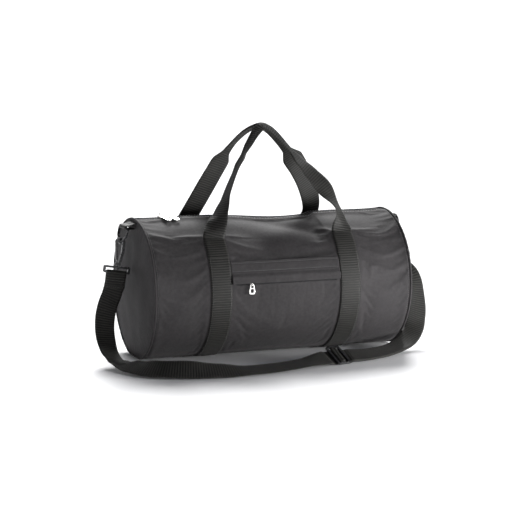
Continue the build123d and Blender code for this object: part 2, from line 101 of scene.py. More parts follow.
# -------------------- materials
class Nodes:
    """A material's node tree, with short calls for adding and linking nodes."""

    def __init__(self, name):
        self.material = bpy.data.materials.new(name)
        self.material.use_nodes = True
        self.tree = self.material.node_tree
        self.shader = self.tree.nodes["Principled BSDF"]
        self.place = self.add("ShaderNodeTexCoord").outputs["Object"]
        self.uv = self.add("ShaderNodeUVMap").outputs["UV"]

    def add(self, kind, **values):
        node = self.tree.nodes.new(kind)
        for key, value in values.items():
            if key in node.inputs:
                node.inputs[key].default_value = value
            else:
                setattr(node, key, value)
        return node

    def link(self, source, target):
        self.tree.links.new(source, target)

    def set(self, **values):
        for key, value in values.items():
            self.shader.inputs[key.replace("_", " ")].default_value = value

    def noise(self, scale, detail, roughness):
        node = self.add("ShaderNodeTexNoise", Scale=scale, Detail=detail, Roughness=roughness)
        self.link(self.place, node.inputs["Vector"])
        return node.outputs["Fac"]

    def math(self, operation, a, b=0.0):
        node = self.add("ShaderNodeMath", operation=operation)
        for socket, value in zip(node.inputs, (a, b)):
            if isinstance(value, (int, float)):
                socket.default_value = value
            else:
                self.link(value, socket)
        return node.outputs[0]

    def weighted(self, *pairs):
        """The sum of some values, each times its weight."""
        total = 0.0
        for value, weight in pairs:
            total = self.math("ADD", self.math("MULTIPLY", value, weight), total)
        return total

    def ramp(self, value, low, high, start=0.0, end=1.0):
        node = self.add("ShaderNodeMapRange")
        self.link(value, node.inputs["Value"])
        for key, number in zip(("From Min", "From Max", "To Min", "To Max"), (start, end, low, high)):
            node.inputs[key].default_value = number
        return node.outputs["Result"]

    def colour(self, value, low, high, start, end):
        node = self.add("ShaderNodeValToRGB")
        node.color_ramp.elements[0].position = start
        node.color_ramp.elements[1].position = end
        node.color_ramp.elements[0].color = (*low, 1)
        node.color_ramp.elements[1].color = (*high, 1)
        self.link(value, node.inputs["Fac"])
        self.link(node.outputs["Color"], self.shader.inputs["Base Color"])

    def bump(self, height, strength, distance):
        node = self.add("ShaderNodeBump", Strength=strength, Distance=distance)
        self.link(height, node.inputs["Height"])
        if self.shader.inputs["Normal"].is_linked:
            self.link(self.shader.inputs["Normal"].links[0].from_socket, node.inputs["Normal"])
        self.link(node.outputs["Normal"], self.shader.inputs["Normal"])

    def wave(self, pitch, axis):
        """A sine across one axis of the UV, with this pitch in metres, from 0 to 1."""
        split = self.add("ShaderNodeSeparateXYZ")
        self.link(self.uv, split.inputs[0])
        turned = self.math("MULTIPLY", split.outputs[axis], 2 * pi / pitch)
        return self.ramp(self.math("SINE", turned), 0, 1, -1, 1)


def fabric_material(name, dark, light, weave=0.0011, thread_bump=0.35):
    """Coated polyester in a plain weave, from the piece's UV in metres."""
    n = Nodes(name)
    warp, weft = n.wave(weave, 0), n.wave(weave, 1)
    checker = n.math("ABSOLUTE", n.math("SUBTRACT", warp, weft))
    slub = n.noise(900, 3, 0.6)
    mixed = n.weighted((n.noise(9, 4, 0.55), 0.55), (n.noise(160, 3, 0.6), 0.45),
                       (n.math("SUBTRACT", checker, 0.5), 0.16))
    n.colour(mixed, dark, light, 0.30, 0.72)
    n.link(n.ramp(slub, 0.66, 0.84), n.shader.inputs["Roughness"])
    n.bump(checker, thread_bump, 0.00012)
    n.bump(slub, 0.25, 0.0002)
    n.bump(n.noise(70, 3, 0.5), 0.22, 0.0012)
    n.set(Sheen_Weight=0.05, Sheen_Roughness=0.40, Specular_IOR_Level=0.22)
    return n.material


def webbing_material(name, dark, light):
    """Ribbed polypropylene webbing: ribs across the strap and fine yarn along it, with painted shade between
    the ribs.
    """
    n = Nodes(name)
    # the colour is lighter on the raised ribs and darker in the grooves between them, in step with the ribs'
    # height: painted shade; the noise adds a random yarn tone
    rib, rib_shade, yarn = n.wave(RIB, 1), n.wave(2 * RIB, 1), n.wave(0.0009, 0)
    n.colour(n.weighted((rib, 0.18), (n.noise(35, 3, 0.55), 0.32), (rib_shade, 0.50)), dark, light, 0.25, 0.75)
    n.link(n.ramp(n.noise(700, 2, 0.5), 0.5, 0.72), n.shader.inputs["Roughness"])
    n.bump(yarn, 0.35, 0.00012)
    n.bump(n.noise(1500, 2, 0.6), 0.3, 0.0001)
    n.set(Sheen_Weight=0.05, Sheen_Roughness=0.4, Specular_IOR_Level=0.28)
    return n.material


def plastic_material(name, tone, roughness):
    """Moulded plastic with a faint grain and handling marks."""
    n = Nodes(name)
    patch = n.noise(60, 3, 0.6)
    n.colour(patch, tone, tuple(1.7 * c for c in tone), 0.3, 0.8)
    n.link(n.ramp(n.noise(240, 4, 0.6), roughness - 0.08, roughness + 0.14), n.shader.inputs["Roughness"])
    n.bump(n.noise(1400, 2, 0.5), 0.12, 0.00008)
    n.set(Coat_Weight=0.15, Coat_Roughness=0.25)
    return n.material


def nickel_material(name):
    """Bright plated die casting with soft wear."""
    n = Nodes(name)
    n.colour(n.noise(180, 4, 0.6), (0.62, 0.61, 0.59), (0.86, 0.85, 0.83), 0.25, 0.7)
    n.link(n.ramp(n.noise(420, 3, 0.6), 0.16, 0.34), n.shader.inputs["Roughness"])
    n.bump(n.noise(300, 2, 0.5), 0.1, 0.0003)
    n.set(Metallic=1.0)
    return n.material


def thread_material(name, dark, light):
    """Twisted sewing thread."""
    n = Nodes(name)
    n.colour(n.noise(2500, 2, 0.5), dark, light, 0.3, 0.7)
    n.bump(n.noise(3500, 2, 0.5), 0.4, 0.0001)
    n.set(Roughness=0.55, Sheen_Weight=0.2)
    return n.material


def floor_material():
    """Pale paper sweep."""
    n = Nodes("studio_floor")
    n.colour(n.noise(3, 2, 0.5), (0.90, 0.90, 0.915), (0.92, 0.92, 0.93), 0.3, 0.7)
    n.set(Roughness=0.55, Specular_IOR_Level=0.25)
    return n.material


FABRIC = fabric_material("polyester", (0.0205, 0.0190, 0.0200), (0.041, 0.038, 0.0395))
LINING = fabric_material("lining", (0.018, 0.018, 0.019), (0.030, 0.030, 0.031), 0.0007, 0.2)
WEBBING = webbing_material("webbing", (0.0032, 0.0031, 0.0028), (0.025, 0.0243, 0.0218))
TAPE = fabric_material("zip_tape", (0.008, 0.008, 0.009), (0.020, 0.020, 0.021), 0.0008, 0.4)
COIL = plastic_material("coil", (0.009, 0.009, 0.010), 0.38)
PLASTIC = plastic_material("acetal", (0.007, 0.007, 0.008), 0.24)
NICKEL = nickel_material("nickel")
DARK_THREAD = thread_material("dark_thread", (0.030, 0.030, 0.030), (0.075, 0.074, 0.072))
PALE_THREAD = thread_material("pale_thread", (0.20, 0.20, 0.20), (0.40, 0.40, 0.40))


# -------------------- building pieces
def add_object(name, data):
    made = bpy.data.objects.new(name, data)
    bpy.context.scene.collection.objects.link(made)
    return made


def piece(name, points, faces, material, body="bag", replaces=(), uvs=None, smooth=True):
    """A mesh object of these points, riding on a body."""
    mesh = bpy.data.meshes.new(name)
    mesh.from_pydata([tuple(p) for p in points], [], [tuple(f) for f in faces])
    mesh.update()
    if uvs is not None:
        layer = mesh.uv_layers.new(name="UVMap")
        order = np.empty(len(mesh.loops), dtype=np.int64)
        mesh.loops.foreach_get("vertex_index", order)
        layer.data.foreach_set("uv", np.asarray(uvs, dtype=np.float64)[order].ravel())
    mesh.polygons.foreach_set("use_smooth", [smooth] * len(mesh.polygons))
    mesh.materials.append(material)
    made = add_object(name, mesh)
    if body:
        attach(made, body)
    if replaces:
        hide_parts(*replaces)
    return made


def grid_faces(rows, columns, closed=False, offset=0):
    """Quads of a grid of rows by columns, closed across the columns or open."""
    wide = columns if closed else columns - 1
    faces = []
    for i in range(rows - 1):
        for j in range(wide):
            k = (j + 1) % columns
            faces.append((offset + i * columns + j, offset + (i + 1) * columns + j,
                          offset + (i + 1) * columns + k, offset + i * columns + k))
    return faces


def tube_faces(rings, sides, base):
    """Faces of a tube of rings, closed at both ends."""
    faces = grid_faces(rings, sides, True, base)
    faces.append(tuple(base + j for j in range(sides)))
    faces.append(tuple(base + (rings - 1) * sides + j for j in reversed(range(sides))))
    return faces


def solidify(made, thickness):
    """Gives a sheet its thickness, behind the face that its normals point away from."""
    modifier = made.modifiers.new("thickness", "SOLIDIFY")
    modifier.thickness = thickness
    modifier.offset = -1.0


def smooth_step(x):
    x = np.clip(x, 0.0, 1.0)
    return x * x * (3 - 2 * x)


def keyed(at, keys):
    """Values at these places, eased between the keys, a list of (place, value)."""
    places = [k[0] for k in keys]
    values = np.array([k[1] for k in keys], dtype=float)
    at = np.atleast_1d(np.asarray(at, dtype=float))
    index = np.clip(np.searchsorted(places, at) - 1, 0, len(keys) - 2)
    start, end = np.array(places)[index], np.array(places)[index + 1]
    share = smooth_step((at - start) / (end - start))
    if values.ndim > 1:
        share = share[:, None]
    return values[index] * (1 - share) + values[index + 1] * share


def run_of(points):
    """How far along a line of points each of them is."""
    return np.concatenate([[0], np.cumsum(np.linalg.norm(np.diff(points, axis=0), axis=1))])


def read_at(at, run, rows):
    """Reads rows of three numbers at these distances."""
    return np.stack([np.interp(at, run, rows[:, c]) for c in range(3)], axis=-1)


# -------------------- the stuffed barrel's surface
# Soft dents and folds: place along x, angle in degrees, half widths along x and round the barrel, depth
# and the turn of the dent's long way in degrees. Depth is inwards, and a negative depth is a swell.
FOLDS = [
    (0.045, 86, 0.062, 0.055, 0.0060, 0),      # the top sinks right of the middle
    (-0.03, 62, 0.030, 0.024, 0.0016, 20),
    (-0.065, 55, 0.022, 0.016, 0.0018, -25),
    (-0.030, 44, 0.016, 0.026, 0.0020, 10),
    (0.012, 50, 0.034, 0.018, -0.0018, -20),
    (0.060, 60, 0.060, 0.013, 0.0030, -28),
    (0.095, 52, 0.012, 0.034, 0.0036, 8),      # the crease beside the right strap
    (0.078, 70, 0.028, 0.014, -0.0016, -30),
    (0.158, 14, 0.005, 0.030, 0.0016, 5),      # small dents right of the right strap
    (0.168, 30, 0.008, 0.028, 0.0014, -12),
    (0.152, -14, 0.006, 0.022, 0.0014, 10),
    (-0.180, 52, 0.040, 0.013, 0.0016, 32),
    (-0.205, 30, 0.030, 0.030, -0.0014, 10),
    (-0.165, -28, 0.018, 0.040, 0.0014, 18),
    (-0.05, -30, 0.060, 0.030, -0.0012, 0),
    (0.03, -42, 0.060, 0.014, 0.0018, 8),
    (0.200, -30, 0.034, 0.024, 0.0016, -20),
    (0.205, 66, 0.022, 0.030, 0.0022, 0),
    (-0.06, 120, 0.055, 0.020, 0.0024, 16),
    (0.07, 138, 0.016, 0.050, 0.0022, 22),
    (0.02, 165, 0.060, 0.018, 0.0022, -10),
    (-0.19, 150, 0.020, 0.045, 0.0020, 14),
    (0.19, 160, 0.024, 0.040, 0.0022, -18),
    (-0.02, 215, 0.070, 0.016, 0.0020, 6),
]


def flat_radius(angle):
    """Distance of the undented fabric from the axis, flattened where it rests on the ground."""
    drop = np.maximum(-np.sin(angle), 1e-6)
    limit = (AXIS - BASE) / drop
    sharp = 900.0
    both = np.exp(-sharp * (RADIUS - 0.1)) + np.exp(-sharp * np.minimum(limit - 0.1, 1.0))
    return -np.log(both) / sharp + 0.1


def skin_radius(x, angle):
    """Distance of the fabric's outside from the barrel's axis, at any place."""
    x, angle = np.broadcast_arrays(np.asarray(x, float), np.asarray(angle, float))
    radius = flat_radius(angle)
    dent = np.zeros(radius.shape)
    for fx, fa, along, around, depth, turn in FOLDS:
        turn = radians(turn)
        across = (np.mod(angle - radians(fa) + pi, 2 * pi) - pi) * RADIUS
        u = (x - fx) * cos(turn) + across * sin(turn)
        v = -(x - fx) * sin(turn) + across * cos(turn)
        dent += 1.35 * depth * np.exp(-0.5 * ((u / along) ** 2 + (v / around) ** 2))
    sides = 1 - np.exp(-((HALF - np.abs(x)) / 0.018) ** 2)      # the end seams hold their round
    strap = 1 - np.exp(-(np.maximum(np.abs(np.abs(x) - STRAP_X) - STRAP_WIDTH / 2, 0) / 0.010) ** 2)
    sewn = smooth_step((np.sin(angle) - sin(SEWN_TOP)) / 0.12)
    hold = sides * np.maximum(strap, 0.35 * sewn)
    zipped = np.exp(-((x - 0.045) / 0.07) ** 2) * smooth_step((np.sin(angle) - 0.86) / 0.12)
    hold = np.maximum(hold, np.where(np.abs(np.abs(x) - STRAP_X) > 0.03, zipped * sides, 0))
    puff = 0.0012 * np.cos(pi * x / 0.25) ** 2
    base = smooth_step((np.sin(angle) + 0.97) / 0.12)           # nothing moves where it rests
    seam = 0.0012 * np.exp(-((HALF - np.abs(x)) / 0.006) ** 2)
    return radius - (dent + puff) * hold * base - seam


def on_skin(x, angle, lift=0.0):
    """Points on the fabric, as rows of x, y, z."""
    x, angle = np.broadcast_arrays(np.asarray(x, float), np.asarray(angle, float))
    radius = skin_radius(x, angle) + lift
    return np.stack([x, -radius * np.cos(angle), AXIS + radius * np.sin(angle)], axis=-1)


def outward(angle):
    angle = np.asarray(angle, float)
    return np.stack([np.zeros(angle.shape), -np.cos(angle), np.sin(angle)], axis=-1)


def skin_sheet(name, xs, angles, lift, material, thickness, replaces=(), hole=None, moved=0.0):
    """A sheet that follows the barrel, moved by so much at each point, with a hole if asked."""
    grid_x, grid_a = np.meshgrid(xs, angles, indexing="ij")
    points = (on_skin(grid_x, grid_a, lift) + moved).reshape(-1, 3)
    uvs = np.stack([grid_x.ravel(), grid_a.ravel() * RADIUS], axis=-1)
    faces = grid_faces(len(xs), len(angles))
    if hole:
        low_x, high_x, low_a, high_a = hole
        tiny = 1e-6

        def inside(index):
            i, j = divmod(index, len(angles))
            return low_x - tiny <= xs[i] <= high_x + tiny and low_a - tiny <= angles[j] <= high_a + tiny

        faces = [f for f in faces if not all(inside(k) for k in f)]
    made = piece(name, points, faces, material, "bag", replaces, uvs)
    solidify(made, thickness)
    return made


# -------------------- stitches and webbing
def stitches(name, points, normals, material, length=0.0030, gap=0.0011, radius=0.00032):
    """A row of stitches along a line of points: each a small rounded bar, sunk at both ends."""
    points, normals = np.asarray(points, float), np.asarray(normals, float)
    run = run_of(points)
    count = max(1, int(run[-1] / (length + gap)))
    rings, sides = 5, 6
    all_points, faces = [], []
    for k in range(count):
        base = len(all_points)
        for i in range(rings):
            share = i / (rings - 1)
            at = (k + 0.5) * run[-1] / count + (share - 0.5) * length
            centre = read_at(at, run, points)
            up = read_at(at, run, normals)
            up /= np.linalg.norm(up)
            way = read_at(at + 1e-4, run, points) - centre
            if np.linalg.norm(way) < 1e-9:
                way = points[-1] - points[-2]
            side = np.cross(way, up)
            side /= np.linalg.norm(side)
            bow = sin(pi * share)
            thick = radius * (0.35 + 0.65 * bow)
            for j in range(sides):
                turn = 2 * pi * j / sides
                all_points.append(centre + up * (radius * (bow - 0.45) + thick * sin(turn) * 0.8)
                                  + side * thick * cos(turn))
        faces += tube_faces(rings, sides, base)
    return piece(name, all_points, faces, material, "bag")


def evenly(points, step, *others):
    """A line of points, and what goes with them, at an even step."""
    points = np.asarray(points, float)
    run = run_of(points)
    count = max(3, int(round(run[-1] / step)) + 1)
    at = np.linspace(0, run[-1], count)
    made = []
    for rows in (points, *others):
        rows = np.asarray(rows, float)
        made.append(np.interp(at, run, rows) if rows.ndim == 1 else read_at(at, run, rows))
    return at, made


def strip_frame(line, facing):
    """The way a strip's flat side faces, square to its line, and the way across it."""
    way = np.gradient(line, axis=0)
    way /= np.linalg.norm(way, axis=1)[:, None]
    facing = facing - way * np.sum(facing * way, axis=1)[:, None]
    facing /= np.linalg.norm(facing, axis=1)[:, None]
    return facing, np.cross(way, facing)


def webbing_strip(name, line, faces_to, width, thickness=WEB, body="bag", replaces=()):
    """Ribbed webbing along a line. faces_to is the way the flat side faces at each point, and
    width and thickness are numbers or one for each point. The ribs end evenly at both ends."""
    line = np.asarray(line, float)
    width = np.broadcast_to(np.asarray(width, float), (len(line),))
    thickness = np.broadcast_to(np.asarray(thickness, float), (len(line),))
    at, (line, facing, width, thickness) = evenly(line, RIB / 4, faces_to, width, thickness)
    facing, across = strip_frame(line, facing)
    inner = np.linspace(-1, 1, 11)
    at = at * round(at[-1] / (2 * RIB)) * 2 * RIB / at[-1]
    rib = RIB_HEIGHT * (np.abs(np.sin(pi * at / RIB)) - 0.5)
    rib += 0.6 * RIB_HEIGHT * np.sin(pi * at / RIB)
    rows = []
    for side in (1, -1):
        for u in (inner if side == 1 else inner[::-1]):
            edge = abs(u) ** 8
            half = thickness / 2 * (1 - 0.55 * edge) + rib * (1 - edge)
            rows.append(line + across * (u * width / 2 * (1 - 0.004 * edge))[:, None]
                        + facing * (side * half)[:, None])
    section = len(rows)
    points = np.stack(rows, axis=1).reshape(-1, 3)
    around = np.concatenate([inner, inner[::-1]]) / 2
    uvs = np.stack([(around[None, :] * width[:, None]).ravel(), np.repeat(at, section)], axis=-1)
    faces = grid_faces(len(line), section, True)
    for i in (0, len(line) - 1):
        base = i * section
        half = section // 2
        for j in range(half - 1):
            quad = (base + j, base + j + 1, base + section - 2 - j, base + section - 1 - j)
            faces.append(quad if i else quad[::-1])
    return piece(name, points, faces, WEBBING, body, replaces, uvs)


def edge_rows(line, faces_to, width, inset, lift):
    """Two lines, one inside each edge of a strap, lifted off its face."""
    facing, across = strip_frame(line, faces_to)
    reach = width / 2 - inset
    return [(line + across * reach * side + facing * lift, facing) for side in (-1, 1)]


def hardware(node, material, bevel, body, reshape=None):
    """A CAD node's own shape with its edges rounded, after reshape has moved its points."""
    mesh = bpy.data.objects[node].data.copy()
    made = add_object(f"{node}_finished", mesh)
    work = bmesh.new()
    work.from_mesh(mesh)
    bmesh.ops.remove_doubles(work, verts=work.verts, dist=1e-6)
    bmesh.ops.dissolve_limit(work, angle_limit=radians(2), verts=work.verts, edges=work.edges)
    if reshape:
        for vertex in work.verts:
            vertex.co = reshape(vertex.co)
    work.to_mesh(mesh)
    work.free()
    mesh.materials.clear()
    mesh.materials.append(material)
    mesh.polygons.foreach_set("use_smooth", [True] * len(mesh.polygons))
    if bevel:
        modifier = made.modifiers.new("bevel", "BEVEL")
        modifier.width = bevel
        modifier.segments = 3
        modifier.limit_method = "ANGLE"
        modifier.angle_limit = radians(35)
    weighted = made.modifiers.new("normals", "WEIGHTED_NORMAL")
    weighted.keep_sharp = True
    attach(made, body)
    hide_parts(node)
    return made


# -------------------- camera and light
def camera_and_light():
    scene = bpy.context.scene
    azimuth, elevation, distance = radians(-21.13), radians(8.63), 3.415
    back = Vector((sin(azimuth) * cos(elevation), -cos(azimuth) * cos(elevation),
                   sin(elevation)))
    camera = add_object("camera", bpy.data.cameras.new("camera"))
    camera.data.lens = 125.6
    camera.data.shift_x, camera.data.shift_y = -0.0027, 0.0412
    camera.data.clip_end = 1000
    camera.location = Vector((0, 0, AXIS)) + back * distance
    camera.rotation_euler = back.to_track_quat("Z", "Y").to_euler()
    scene.camera = camera

    world = bpy.data.worlds.new("studio")
    world.use_nodes = True
    tree = world.node_tree
    place = tree.nodes.new("ShaderNodeTexCoord")
    split = tree.nodes.new("ShaderNodeSeparateXYZ")
    sky = tree.nodes.new("ShaderNodeValToRGB")
    sky.color_ramp.elements[0].position, sky.color_ramp.elements[0].color = 0.02, (1.1, 1.1, 1.1, 1)
    sky.color_ramp.elements[1].position, sky.color_ramp.elements[1].color = 0.07, (0.10, 0.102, 0.108, 1)
    tree.links.new(place.outputs["Generated"], split.inputs[0])
    tree.links.new(split.outputs[2], sky.inputs["Fac"])
    tree.links.new(sky.outputs["Color"], tree.nodes["Background"].inputs["Color"])
    scene.world = world
    sun = bpy.data.lights.new("overhead", "SUN")
    sun.energy, sun.angle = 5.3, radians(26)
    lamps = [("overhead", sun, (0.38, 1.18, 1.22))]
    for name, place, width, height, power in (
        ("front", (0.4, -3.0, 0.16), 3.0, 0.22, 20.0),
        ("right", (0.80, -0.70, 0.12), 0.4, 0.20, 14.0),
        ("left", (-1.6, -0.9, 0.20), 0.8, 0.3, 4.0),
    ):
        light = bpy.data.lights.new(name, "AREA")
        light.shape, light.size, light.size_y, light.energy = "RECTANGLE", width, height, power
        lamps.append((name, light, place))
    for name, light, place in lamps:
        lamp = add_object(name, light)
        lamp.location = place
        lamp.rotation_euler = (Vector(place) - Vector((0, 0, 0.1))).to_track_quat("Z", "Y").to_euler()
    scene.view_settings.view_transform = "Standard"

    floor = piece("floor", [(-300, -300, 0), (300, -300, 0), (300, 300, 0), (-300, 300, 0)], [(0, 1, 2, 3)],
                  floor_material(), body=None, smooth=False)
    floor.location.z = -0.0002


camera_and_light()

# -------------------- shoulder strap
ROUTE = [
    (-0.2841, 0.0, 0.1583),
    (-0.2885, 0.0, 0.1286),
    (-0.306, -0.006, 0.096),
    (-0.315, -0.022, 0.058),
    (-0.315, -0.052, 0.022),
    (-0.312, -0.092, 0.013),
    (-0.300, -0.142, 0.0125),
    (-0.274, -0.190, 0.0150),
    (-0.226, -0.216, 0.0155),
    (-0.165, -0.227, 0.0110),
    (-0.100, -0.224, 0.0065),
    (-0.014, -0.210, 0.0075),
    (0.078, -0.184, 0.0144),
    (0.130, -0.178, 0.0105),
    (0.180, -0.157, 0.0095),
    (0.228, -0.126, 0.011),
    (0.268, -0.098, 0.026),
    (0.292, -0.070, 0.056),
    (0.302, -0.046, 0.092),
    (0.303, -0.024, 0.126),
    (0.2865, 0.0, 0.1425),
    (0.2841, 0.0, 0.1583),
]


def smooth_route(route, steps=24):
    """Points read from the route's own NURBS line."""
    curve = bpy.data.curves.new("route", "CURVE")
    curve.dimensions = "3D"
    spline = curve.splines.new("NURBS")
    spline.points.add(len(route) - 1)
    for point, place in zip(spline.points, route):
        point.co = (*place, 1)
    spline.order_u = 3
    spline.use_endpoint_u = True
    spline.resolution_u = steps
    holder = add_object("route", curve)
    bpy.context.view_layer.update()
    line = bpy.data.meshes.new_from_object(holder)
    points = np.array([v.co[:] for v in line.vertices])
    bpy.data.objects.remove(holder)
    bpy.data.curves.remove(curve)
    bpy.data.meshes.remove(line)
    return points


strap_line = smooth_route(ROUTE)
_, (strap_line,) = evenly(strap_line, 0.0015)
ADJUSTER = np.array(ROUTE[12])
ALONG = np.array([0.96, 0.28, 0.0])
ADJUSTER_UP = np.array([0.1484, -0.5088, 0.8480])
from_bar = (strap_line - ADJUSTER) @ ALONG
near_bar = 1 - smooth_step((np.linalg.norm(strap_line - ADJUSTER, axis=1) - 0.016) / 0.012)
weave = (WEAVE_HIGH * np.exp(-(from_bar / 0.0046) ** 2) - WEAVE_LOW) * near_bar
strap_line = strap_line + ADJUSTER_UP * weave[:, None]
strap_run = run_of(strap_line)
STRAP_LENGTH = strap_run[-1]
FACING = [                     # the way the strap's face looks, by the share of its length
    (0.00, (0.0, -1.0, 0.0)),
    (0.07, (0.0, -1.0, 0.0)),
    (0.11, (0.12, -0.88, 0.30)),
    (0.15, (0.26, -0.24, 0.93)),       # it turns edge-on to come down on the ground
    (0.17, (0.26, -0.06, 0.96)),
    (0.19, (0.03, -0.08, 0.99)),
    (0.235, (-0.42, -0.10, 0.90)),
    (0.285, (-0.58, -0.32, 0.75)),     # here it stands on its lower edge
    (0.34, (-0.42, -0.58, 0.70)),
    (0.39, (-0.10, -0.50, 0.86)),
    (0.45, (0.0, -0.24, 0.97)),
    (0.55, (0.03, -0.20, 0.98)),
    (0.60, (0.12, -0.45, 0.88)),
    (0.635, (0.15, -0.50, 0.85)),      # over the adjuster
    (0.655, (0.12, -0.38, 0.92)),
    (0.71, (0.05, -0.29, 0.95)),
    (0.77, (0.0, -0.22, 0.97)),
    (0.84, (-0.10, -0.60, 0.80)),
    (0.88, (0.0, -1.0, 0.35)),
    (0.93, (0.10, -1.0, 0.0)),
    (1.00, (0.0, -1.0, 0.0)),
]
ADJUSTER_SHARE = strap_run[np.argmin(np.linalg.norm(strap_line - ADJUSTER, axis=1))] / STRAP_LENGTH
strap_facing = keyed(strap_run / STRAP_LENGTH, FACING)
shoulder = webbing_strip("shoulder_strap_webbing", strap_line, strap_facing, SHOULDER_WIDTH,
                         replaces=("shoulder_strap",))


def share_of(values, low, high):
    """The part of the strap's rows between two shares of its length."""
    chosen = (strap_run / STRAP_LENGTH >= low) & (strap_run / STRAP_LENGTH <= high)
    return values[chosen]


# from the adjuster to the right hook the webbing is doubled
second_line = share_of(strap_line, ADJUSTER_SHARE, 0.985)
second_facing = share_of(strap_facing, ADJUSTER_SHARE, 0.985)
second_facing /= np.linalg.norm(second_facing, axis=1)[:, None]
webbing_strip("shoulder_strap_return", second_line - second_facing * (WEB + 0.0006),
                              second_facing, SHOULDER_WIDTH)

# the doubled layer ends in a loop round the adjuster's middle bar
loop, loop_facing = [], []
for along, rise in ((0.022, -0.0046), (0.010, -0.0048), (0.004, -0.0032), (-0.003, -0.0029)):
    loop.append(ADJUSTER + ALONG * along + ADJUSTER_UP * rise)
    loop_facing.append(-ADJUSTER_UP)
for turn in np.linspace(-pi / 2, pi / 2, 9)[1:-1]:
    way = -ALONG * cos(turn) + ADJUSTER_UP * sin(turn)
    loop.append(ADJUSTER - ALONG * 0.0030 + way * 0.0028)
    loop_facing.append(way)
for along, rise in ((-0.002, 0.0028), (0.003, 0.0027)):
    loop.append(ADJUSTER + ALONG * along + ADJUSTER_UP * rise)
    loop_facing.append(ADJUSTER_UP)
webbing_strip("adjuster_loop", loop, loop_facing, SHOULDER_WIDTH)

# each end goes round the lower bar of its strap loop and is sewn to itself
for side, sign in LEFT_RIGHT:
    up = Vector((-sign * sin(HOOK_LEAN), 0, cos(HOOK_LEAN)))
    start, below = (Vector(p) for p in (ROUTE[:2] if sign < 0 else ROUTE[:-3:-1]))
    bar = start + 0.0019 * up
    hang = (below - start).normalized()
    forward = Vector((0, -1, 0))
    wrap, wrap_facing = [], []
    for drop, out in ((0.030, 0.0014), (0.016, 0.0015), (0.008, 0.0022), (0.003, 0.0030)):
        wrap.append(bar + hang * drop + forward * out)
        wrap_facing.append(forward)
    for turn in np.linspace(0, pi, 15):
        way = forward * cos(turn) + up * sin(turn)
        wrap.append(bar + way * 0.0032)
        wrap_facing.append(way)
    for drop, out in ((0.003, 0.0030), (0.008, 0.0022), (0.016, 0.0018), (0.034, 0.0018)):
        wrap.append(bar + hang * drop - forward * out)
        wrap_facing.append(-forward)
    webbing_strip(f"strap_end_{side}", wrap, wrap_facing, SHOULDER_WIDTH)
    across = hang.cross(forward).normalized()
    for k, drop in enumerate((0.011, 0.015, 0.027)):
        row = [bar + hang * drop + forward * 0.0030 + across * u for u in np.linspace(-0.0165, 0.0165, 60)]
        stitches(f"strap_end_stitches_{side}_{k}", row, [forward] * len(row), DARK_THREAD)


# -------------------- the barrel
def settle(points, pinned, frames=26):
    """Lets a grid of fabric that is cut a little large settle between its sewn edges."""
    mesh = bpy.data.meshes.new("settling")
    mesh.from_pydata([tuple(p) for p in points], [], grid_faces(*CLOTH_GRID))
    cloth = add_object("settling", mesh)
    group = cloth.vertex_groups.new(name="sewn")
    for index, weight in enumerate(pinned):
        if weight > 0.01:
            group.add([index], float(weight), "REPLACE")
    modifier = cloth.modifiers.new("settling", "CLOTH")
    settings = modifier.settings
    for key, value in CLOTH.items():
        setattr(settings, key, value)
    settings.vertex_group_mass = "sewn"
    settings.effector_weights.gravity = 0.10
    modifier.collision_settings.use_collision = False
    modifier.point_cache.frame_start = 1
    modifier.point_cache.frame_end = frames
    scene = bpy.context.scene
    for frame_number in range(1, frames + 1):
        scene.frame_set(frame_number)
    settled = cloth.evaluated_get(bpy.context.evaluated_depsgraph_get())
    places = np.array([v.co[:] for v in settled.data.vertices])
    scene.frame_set(1)
    bpy.data.objects.remove(cloth)
    bpy.data.meshes.remove(mesh)
    return places


def spread(coarse, coarse_x, coarse_a, fine_x, fine_a):
    """Reads a grid of values at finer places, straight between its own."""
    along = np.array([[np.interp(fine_x, coarse_x, coarse[:, j, c]) for c in range(3)]
                      for j in range(len(coarse_a))])
    along = np.moveaxis(along, 0, -1)
    return np.stack([[np.interp(fine_a, coarse_a, along[c, i]) for i in range(len(fine_x))]
                     for c in range(3)], axis=-1)


def slack(fine_x, fine_a):
    coarse_x = np.linspace(-HALF, HALF, CLOTH_GRID[0])
    coarse_a = np.linspace(fine_a[0], fine_a[-1], CLOTH_GRID[1])
    gx, ga = np.meshgrid(coarse_x, coarse_a, indexing="ij")
    start = on_skin(gx, ga).reshape(-1, 3)
    near_end = HALF - np.abs(gx)
    under_strap = np.abs(np.abs(gx) - STRAP_X) - STRAP_WIDTH / 2
    sewn_strap = np.where(np.sin(ga) < sin(radians(52)), 1 - smooth_step(under_strap / 0.006), 0)
    zip_edge = 1 - smooth_step((np.abs(np.cos(ga)) * RADIUS - ZIP_HALF) / 0.012 * np.sign(np.sin(ga) + 0.5))
    zip_edge = np.where(np.sin(ga) > 0, zip_edge, 0)
    front = np.cos(ga) > 0
    flap_zone = front & (ga > SLOT_LOW - 0.02) & (ga < FLAP_HIGH + 0.01) & (np.abs(gx) < FLAP_HALF)
    resting = np.where(np.sin(ga) < -0.90, 1.0, 0.0)
    sewn_end = 1 - smooth_step(near_end / 0.008)
    pinned = np.maximum.reduce([sewn_end, sewn_strap, zip_edge, flap_zone * 1.0, resting])
    moved = (settle(start, pinned.ravel()) - start).reshape(*gx.shape, 3)
    size = np.linalg.norm(moved, axis=-1, keepdims=True)
    moved *= SLACK_MOST * np.tanh(size / SLACK_MOST) / np.maximum(size, 1e-9)
    return spread(moved, coarse_x, coarse_a, fine_x, fine_a)


